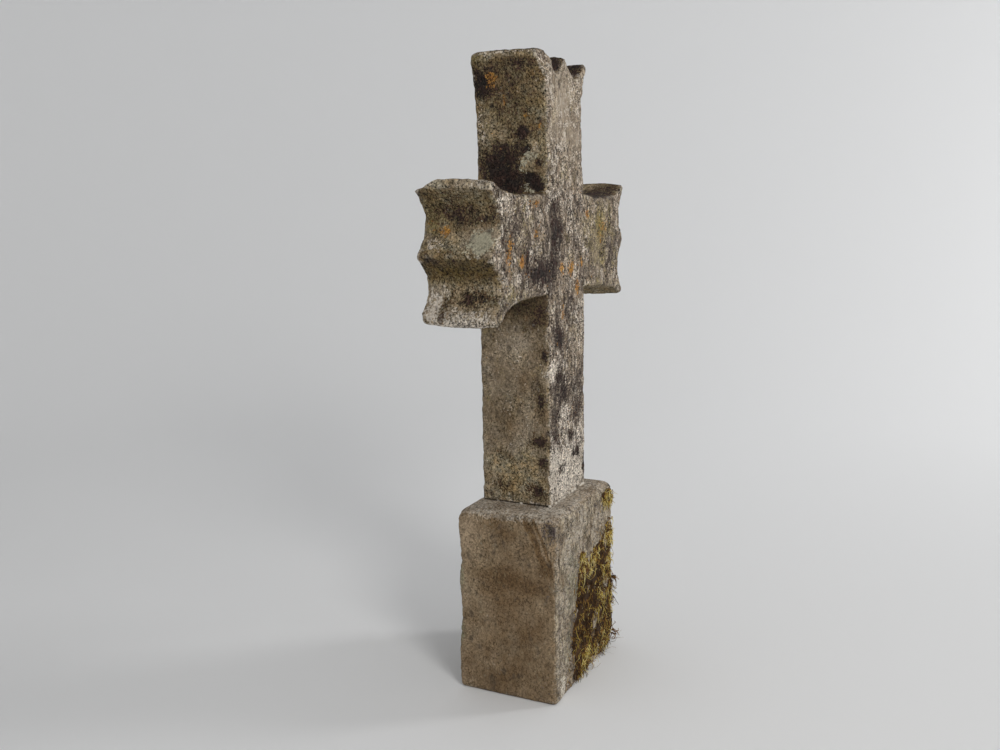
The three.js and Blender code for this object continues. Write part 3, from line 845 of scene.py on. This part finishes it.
def mortar_material(name):
    """Old mortar: pale crumbs, and painted shade, dark, where it lies back in the joint."""
    g = Graph(name)
    shade = g.scaled(g.noise(3 * MM, detail=4, roughness=0.7, shift=0.6), 0.8, g.field("crumb"))
    return g.surface(g.ramp(shade, MORTAR_AND_JOINT_SHADE_TONES), {"Roughness": 0.95, "Specular IOR Level": 0.15})


MOSS_COLOURS = [
    (0.12, (0.04, 0.023, 0.012)),
    (0.28, (0.15, 0.072, 0.025)),
    (0.44, (0.37, 0.20, 0.055)),
    (0.58, (0.44, 0.32, 0.075)),
    (0.76, (0.66, 0.50, 0.10)),
    (1.00, (0.86, 0.74, 0.34)),
]


def moss_material(name):
    """Dry moss: each strand has its own tone, darker at its root."""
    g = Graph(name)
    tone = g.scaled(g.noise(5 * MM, detail=2, roughness=0.6, shift=0.2), 0.2, g.field("tone"))
    return g.surface(g.ramp(tone, MOSS_COLOURS), {"Roughness": 0.9, "Specular IOR Level": 0.15})


# Moss

MOSS_SEED = 41
MOSS_FRONT = PLINTH_LOW[1] - 20 * MM  # shoots stay behind this
MOSS_FOOT = 0.6 * MM  # and above this

# Its tone: an even amount, noise in broad and in small clumps, and spots
MOSS_EVEN_TONE = 0.36
MOSS_CLUMP = 18 * MM
MOSS_CLUMP_TONE = 0.4
MOSS_SMALL_CLUMP = 7 * MM
MOSS_SMALL_TONE = 0.45
MOSS_TONE_SEED = 51
MOSS_TONE_RANGE = (0.08, 0.95)
MOSS_TONES = {
    "plinth_front": [
        (2, 167, 30, 18, 0.8), (96, 174, 14, 34, 0.7), (72, 168, 12, 10, 0.35), (86, 236, 26, 16, 0.35),
        (66, 20, 22, 14, 0.25), (0, 34, 16, 12, 0.45), (64, 152, 18, 16, -0.7), (6, 128, 28, 18, -0.7),
        (8, 96, 32, 18, -0.55), (-46, 60, 12, 40, -0.25), (20, 62, 60, 22, -0.2), (-30, 14, 24, 10, -0.3),
    ],
}

# Where the stone shows
MOSS_HOLE = 16 * MM
MOSS_BARE_SEED = 53
MOSS_BARE = {
    "plinth_front": [
        (30, 58, 26, 16, 0.8), (78, 100, 16, 26, 0.6), (40, 140, 8, 18, 0.6), (40, 10, 40, 8, 0.5),
        (-26, 176, 12, 14, 0.7), (-30, 130, 10, 14, 0.6), (-44, 92, 10, 12, 0.6), (-52, 44, 10, 14, 0.6),
    ],
}
BACK_FROM = 0.3  # share of a normal along +Y at which the back starts
BARE_ROOTS = 1.05  # less the bareness, how densely shoots stand


def moss_tone(points):
    """How yellow the moss is, from 0 to 1, in patches."""
    clumps = MOSS_CLUMP_TONE * grain(points, MOSS_CLUMP, 2, MOSS_TONE_SEED)
    clumps += MOSS_SMALL_TONE * grain(points, MOSS_SMALL_CLUMP, 2, MOSS_TONE_SEED + 1)
    return np.clip(MOSS_EVEN_TONE + clumps + placed(points, MOSS_TONES), *MOSS_TONE_RANGE)


def moss_bareness(points):
    """0 where the moss is full, 1 where the stone shows."""
    holes = grain(points, MOSS_HOLE, 3, MOSS_BARE_SEED)
    return ease(holes + placed(points, MOSS_BARE), 0.35, 0.6)


def surface_samples(mesh, count, random):
    """Points spread over a mesh, apart from its back, with their normals, few where the moss is bare."""
    mesh.calc_loop_triangles()
    corners = np.array([t.vertices[:] for t in mesh.loop_triangles])
    places = points_of(mesh)[corners]
    normals = np.cross(places[:, 1] - places[:, 0], places[:, 2] - places[:, 0])
    areas = np.linalg.norm(normals, axis=1)
    density = BARE_ROOTS - moss_bareness(places.mean(axis=1))
    weights = areas * (normals[:, 1] < BACK_FROM * areas) * density
    chosen = random.choice(len(corners), count, p=weights / weights.sum())
    first, second = np.sqrt(random.random(count)), random.random(count)
    shares = np.stack([1 - first, first * (1 - second), first * second], 1)
    roots = np.einsum("ij,ijk->ik", shares, places[chosen])
    return roots, normals[chosen] / areas[chosen][:, None]


def unit(vectors):
    return vectors / np.linalg.norm(vectors, axis=-1, keepdims=True)


STEM_SIDES = 3
STEM_TAPER = 0.6  # share of its thickness that a stem loses
STEM_TONES = (0.4, 1.35)  # from a stem's root to its tip
LEAF_TURN = 2.4  # radians from one ring of leaves to the next
LEAF_STRAY = 0.5  # radians either way
LEAF_LEAN = 0.7  # towards the shoot's tip
LEAF_LENGTHS = (0.7, 1.3)  # as shares of the size for a shoot
LEAF_HALF_WIDTH = 0.26  # as a share of a leaf's length
LEAF_THICKNESS = 0.2
LEAF_TONES = np.array([0.75, 0.75, 0.75, 1.15])  # at its foot's three corners and its tip
LEAF_FACES = [(0, 2, 1), (0, 1, 3), (1, 2, 3), (2, 0, 3)]


class Shoots:
    """A mesh of moss shoots: curved stems, some with small leaves all round them."""

    def __init__(self):
        self.points, self.tones, self.faces, self.count = [], [], [], 0

    def add(self, points, tones, pattern):
        """Adds many copies of a small closed shape. Points are (copies, corners, 3)."""
        copies, corners = points.shape[:2]
        for start in range(self.count, self.count + copies * corners, corners):
            self.faces += [tuple(start + corner for corner in face) for face in pattern]
        self.points.append(points.reshape(-1, 3))
        self.tones.append(tones.ravel())
        self.count += copies * corners

    def add_stems(self, paths, across, over, thickness, tones):
        rings = paths.shape[1]
        rows = []
        for ring in range(rings):
            girth = thickness[:, None] * (1 - STEM_TAPER * ring / (rings - 1))
            for side in range(STEM_SIDES):
                angle = 2 * math.pi * side / STEM_SIDES
                rows.append(paths[:, ring] + girth * (across * math.cos(angle) + over * math.sin(angle)))
        last = (rings - 1) * STEM_SIDES
        pattern = [tuple(range(STEM_SIDES))[::-1], tuple(range(last, last + STEM_SIDES))]
        pattern += wall_faces(rings, STEM_SIDES)
        lighter = np.repeat(np.linspace(*STEM_TONES, rings), STEM_SIDES)
        self.add(np.stack(rows, 1), tones[:, None] * lighter, pattern)

    def add_leaves(self, paths, across, over, size, per_ring, tones, random):
        """Thin pointed leaves, each a slim pyramid that leans towards its shoot's tip."""
        count, rings = paths.shape[:2]
        for ring in range(1, rings):
            foot = paths[:, ring]
            forward = unit(foot - paths[:, ring - 1])
            taper = 1.15 - 0.5 * ring / rings
            shades = tones[:, None] * LEAF_TONES * (0.75 + 0.35 * ring / rings)
            for leaf in range(per_ring):
                angle = 2 * math.pi * leaf / per_ring + LEAF_TURN * ring
                angle = angle + random.uniform(-LEAF_STRAY, LEAF_STRAY, count)
                sideways = across * np.cos(angle)[:, None] + over * np.sin(angle)[:, None]
                lean = unit(sideways + LEAF_LEAN * forward)
                edge = unit(np.cross(lean, forward))
                length = size[:, None] * random.uniform(*LEAF_LENGTHS, (count, 1)) * taper
                half_width = LEAF_HALF_WIDTH * length * edge
                thickness = LEAF_THICKNESS * length * forward
                corners = [foot + half_width, foot - half_width, foot + thickness, foot + length * lean]
                self.add(np.stack(corners, 1), shades, LEAF_FACES)

    def object(self, name):
        points = np.concatenate(self.points)
        points[:, 1] = np.maximum(points[:, 1], MOSS_FRONT)
        points[:, 2] = np.maximum(points[:, 2], MOSS_FOOT)
        mesh = bpy.data.meshes.new(name)
        mesh.from_pydata(points.tolist(), [], self.faces)
        store(mesh, "tone", np.concatenate(self.tones))
        return new_object(name, mesh)


# Kinds of shoot: the clumps on the mat and on the tuft, the shoots in a clump, the points along each, ranges
# of its length, thickness and any leaves' length in millimetres, the leaves at each point, how much it
# follows the surface's normal, hangs, spreads and curls, and the shift of its tone
SHOOT_KINDS = [
    {"mat": 560, "tuft": 36, "clump": 8, "rings": 5, "length": (4, 8), "stem": (0.45, 0.8),
     "out": 0.12, "hang": 0.8, "spread": 0.4, "curl": 1.0, "tone": -0.03},
    {"mat": 120, "tuft": 5, "clump": 3, "rings": 8, "length": (4, 9), "stem": (0.5, 0.8), "leaf": (1.5, 2.4),
     "leaves": 2, "out": 0.1, "hang": 0.9, "spread": 0.4, "curl": 1.0, "tone": 0.1},
]
FLATNESS = np.array([1, 0.35, 0.7])  # how freely shoots lean and curl along each axis, as they lie on a face
CLUMP_SPREAD = 1.7 * MM  # of the roots in a clump
ROOT_DEPTH = MM
CLUMP_TONE = 0.14  # how much clumps differ
SHOOT_LEAN = 0.35  # how much they lean apart
SHOOT_DROOP = np.array([0, 0.05, -0.3])  # towards the face and down
SWAY = 0.2  # how far a shoot waves from side to side, as a share of its length
SWAY_WAVES = 6  # radians of waving along it
NUDGE = 1e-4  # lets a shoot that curls straight on have a side

# Shoots that stand apart: dark sprigs and fine hairs at the mat's far edge and foot, and stubble along its
# near and upper edges. Rows are X and Z in millimetres and the number of shoots, which spread that many
# millimetres, stand that far in front of the face, lean one way, bend and have tones in a range
STRAY_KINDS = [
    {"rings": 9, "length": (8, 13), "stem": (0.8, 1.2), "leaf": (1.8, 2.8), "leaves": 3,
     "rows": [(102, 106, 7), (103, 20, 7)],
     "spread": 2, "off": 3, "lean": (0.9, -0.35, 0), "bend": 0.3, "tones": (0.12, 0.34)},
    {"rings": 12, "length": (8, 14), "stem": (0.22, 0.34),
     "rows": [(101, 8, 9), (70, 4, 5), (0, 4, 5)],
     "spread": 2, "off": 3, "lean": (0.9, -0.35, 0), "bend": 0.9, "tones": (0.12, 0.34)},
    {"rings": 5, "length": (3, 6), "stem": (0.35, 0.6),
     "rows": [(-24, 176, 9), (-30, 150, 9), (-34, 122, 10), (-42, 98, 10), (-50, 72, 12), (-56, 46, 12),
              (-62, 20, 10), (30, 196, 8), (62, 196, 8)],
     "spread": 7, "off": 0.5, "lean": (0, -0.2, -1), "bend": 0.5, "tones": (0.15, 0.6)},
]
STRAY_LEAN = 0.3
STRAY_DROOP = np.array([0, 0.1, -0.6])


def grow(shoots, kind, roots, along, curl, tones, random):
    """Adds shoots of a kind that leave their roots along a direction and curl."""
    count, rings = len(roots), kind["rings"]
    across = unit(np.cross(along, curl + NUDGE))
    over = np.cross(along, across)
    t = np.linspace(0, 1, rings)[None, :, None]
    turns = random.uniform(0, 2 * math.pi, (count, 1, 1))
    lengths = random.uniform(*kind["length"], count)[:, None, None] * MM
    sway = SWAY * (np.sin(SWAY_WAVES * t + turns) - np.sin(turns)) * across[:, None]
    paths = roots[:, None] + lengths * (t * along[:, None] + t * t * curl[:, None] + sway)
    shoots.add_stems(paths, across, over, random.uniform(*kind["stem"], count) * MM, tones)
    if "leaf" in kind:
        sizes = random.uniform(*kind["leaf"], count) * MM
        shoots.add_leaves(paths, across, over, sizes, kind["leaves"], tones, random)


def grow_all(shoots, mesh, place, random):
    for kind in SHOOT_KINDS:
        clumps, each = kind[place], kind["clump"]
        count = clumps * each
        roots, outwards = surface_samples(mesh, clumps, random)
        along = kind["out"] * outwards + kind["spread"] * FLATNESS * random.normal(size=(clumps, 3))
        along = unit(along + np.array([0, 0, -kind["hang"]]))
        tones = moss_tone(roots) + kind["tone"] + CLUMP_TONE * random.normal(size=clumps)
        roots, outwards, along, tones = (np.repeat(a, each, axis=0) for a in (roots, outwards, along, tones))
        aside = np.cross(outwards, random.normal(size=(count, 3)))
        roots = roots + CLUMP_SPREAD * aside - ROOT_DEPTH * outwards
        along = unit(along + SHOOT_LEAN * FLATNESS * random.normal(size=(count, 3)))
        curl = kind["curl"] * FLATNESS * random.normal(size=(count, 3)) + SHOOT_DROOP
        tones = np.clip(tones + (0.1 + 0.45 * tones) * random.normal(size=count), 0.05, 1)
        grow(shoots, kind, roots, along, curl, tones, random)


def grow_strays(shoots, random):
    for kind in STRAY_KINDS:
        flat = kind["spread"] * np.array([1, 0, 1])
        for x, z, count in kind["rows"]:
            place = np.array([x * MM, PLINTH_LOW[1] - kind["off"] * MM, z * MM])
            roots = place + MM * flat * random.normal(size=(count, 3))
            along = unit(np.array(kind["lean"]) + STRAY_LEAN * random.normal(size=(count, 3)))
            curl = STRAY_DROOP + kind["bend"] * random.normal(size=(count, 3))
            grow(shoots, kind, roots, along, curl, random.uniform(*kind["tones"], count), random)


# The cushion under the shoots, with its heights in millimetres
CUSHION_SHARE = 0.65  # of the moss's thickness
CUSHION_LUMP = 11 * MM
CUSHION_LUMP_HEIGHT = 1.6
CUSHION_SMALL_LUMP = 4.5 * MM
CUSHION_SMALL_HEIGHT = 0.9
CUSHION_SUNK = 1.6
CUSHION_FRAY = 9 * MM
CUSHION_BARE_DEPTH = 2 * MM  # behind the plinth's face, where the moss is bare
CUSHION_TONE = 0.1  # as a share of the moss's


def make_moss(node, place, material, seed, strays=False):
    """A lumpy dark cushion that stands for the node, sunk where the moss is bare, and its shoots."""
    random = np.random.default_rng(seed)
    cushion = even_mesh(node, CUSHION_GRID, f"{node}_cushion")
    mesh = cushion.data
    points = points_of(mesh)
    normals = points_of(mesh, "normal")
    face = PLINTH_LOW[1]
    lumps = CUSHION_LUMP_HEIGHT * grain(points, CUSHION_LUMP, 3, seed)
    small_lumps = CUSHION_SMALL_HEIGHT * grain(points, CUSHION_SMALL_LUMP, 2, seed + 1)
    height = (lumps + small_lumps - CUSHION_SUNK) * MM
    in_front = ease(face - points[:, 1], 0.8 * MM, 2.4 * MM)
    worked = points + normals * (height * in_front)[:, None]
    worked[:, 1] += (1 - CUSHION_SHARE) * np.maximum(face - worked[:, 1], 0)
    border = ease(points[:, 1] - face, -6 * MM, -1 * MM)
    fray = ease(grain(points, CUSHION_FRAY, 2, MOSS_BARE_SEED + 1), -0.2, 0.2)
    sunk = np.maximum(moss_bareness(points), border * fray)
    worked[:, 1] += sunk * np.maximum(face + CUSHION_BARE_DEPTH - worked[:, 1], 0)
    move(mesh, worked)
    store(mesh, "tone", moss_tone(points) * CUSHION_TONE)
    dress(cushion, material, "moss", node)
    shoots = Shoots()
    grow_all(shoots, mesh, place, random)
    if strays:
        grow_strays(shoots, random)
    dress(shoots.object(f"{node}_shoots"), material, "moss")


# Stage, light and camera

def make_stage():
    """A pale floor that sweeps up all round into a wall."""
    profile = [(FLOOR_MIDDLE, 0), (FLOOR_RADIUS / 2, 0), (FLOOR_RADIUS, 0)]
    for i in range(1, SWEEP_STEPS + 1):
        angle = math.pi / 2 * i / SWEEP_STEPS
        radius = FLOOR_RADIUS + SWEEP_RADIUS * math.sin(angle)
        profile.append((radius, SWEEP_RADIUS * (1 - math.cos(angle))))
    profile.append((FLOOR_RADIUS + SWEEP_RADIUS, WALL_TOP))
    points = []
    for radius, height in profile:
        for side in range(STAGE_SIDES):
            angle = 2 * math.pi * side / STAGE_SIDES
            points.append((radius * math.cos(angle), radius * math.sin(angle), height))
    faces = wall_faces(len(profile), STAGE_SIDES)
    faces.append(tuple(reversed(range(STAGE_SIDES))))
    mesh = bpy.data.meshes.new("stage")
    mesh.from_pydata(points, [], faces)
    mesh.shade_smooth()
    stage = new_object("stage", mesh)
    stage.data.materials.append(Graph("stage_paper").surface(STAGE_COLOUR, {"Roughness": 0.9}))


def area_light(name, place, target, width, power, colour=(1, 1, 1)):
    data = bpy.data.lights.new(name, "AREA")
    data.shape = "DISK"
    data.size = width
    data.energy = power
    data.color = colour
    lamp = new_object(name, data)
    lamp.location = place
    lamp.rotation_mode = "QUATERNION"
    lamp.rotation_quaternion = (Vector(target) - Vector(place)).to_track_quat("-Z", "Y")
    lamp.visible_camera = False


def make_light():
    """A soft lamp on the part, another on the stage behind it, and an even sky."""
    area_light("key", place=(-1.6, -1.9, 1.7), target=(0, 0, 0.45), width=0.9, power=32,
               colour=(1.0, 0.985, 0.96))
    area_light("wash", place=(1.8, -2.5, 2.2), target=(4.0, 0.6, 1.2), width=1.5, power=60)
    world = bpy.data.worlds.new("sky")
    world.use_nodes = True
    sky = world.node_tree.nodes["Background"].inputs
    sky["Color"].default_value = (1, 1, 1, 1)
    sky["Strength"].default_value = SKY_STRENGTH
    bpy.context.scene.world = world
    bpy.context.scene.view_settings.view_transform = "Standard"


def make_camera():
    yaw, pitch, roll = (math.radians(a) for a in (CAMERA_YAW, CAMERA_PITCH, CAMERA_ROLL))
    forward = Vector((math.cos(yaw) * math.cos(pitch), math.sin(yaw) * math.cos(pitch), -math.sin(pitch)))
    right = Vector((math.sin(yaw), -math.cos(yaw), 0))
    up = right.cross(forward)
    tilted_right = right * math.cos(roll) + up * math.sin(roll)
    tilted_up = up * math.cos(roll) - right * math.sin(roll)
    data = bpy.data.cameras.new("camera")
    data.lens = CAMERA_LENS
    data.sensor_width = CAMERA_SENSOR
    camera = new_object("camera", data)
    turn = Matrix((tilted_right, tilted_up, -forward)).transposed().to_4x4()
    camera.matrix_world = Matrix.Translation(CAMERA_PLACE) @ turn
    bpy.context.scene.camera = camera


# Making everything

def make_cross():
    piece = even_mesh("cross", CROSS_GRID, "cross_carved")
    wear(piece, rounding=2, chipping=12, seed=1)
    store_growth(piece.data, CROSS_GROWTH, seed=20)
    roughen(piece, dressed=0.3, hewn=0.85, lowest=CROSS_LOW[2] + JOINT_OPENING, seed=5)
    dress(piece, stone_material("cross_sandstone", CROSS_LOOK), "cross_stone", "cross")


def make_plinth():
    piece = even_mesh("plinth", PLINTH_GRID, "plinth_hewn")
    wear(piece, rounding=2, chipping=14, seed=11)
    flake_damp = FLAKE_DAMP * flake_lines(points_of(piece.data))
    store_growth(piece.data, PLINTH_GROWTH, seed=30, extra={"damp_and_shade": flake_damp})
    groove_flake(piece)
    roughen(piece, dressed=0.2, hewn=0.85, lowest=PLINTH_LOW[2], seed=15)
    dress(piece, stone_material("plinth_sandstone", PLINTH_LOOK), "plinth_stone", "plinth")


make_camera()
make_stage()
make_light()
make_cross()
make_plinth()
make_mortar(mortar_material("old_mortar"))
moss = moss_material("dry_moss")
make_moss("moss_mat", "mat", moss, MOSS_SEED, strays=True)
make_moss("moss_tuft", "tuft", moss, MOSS_SEED + 1)
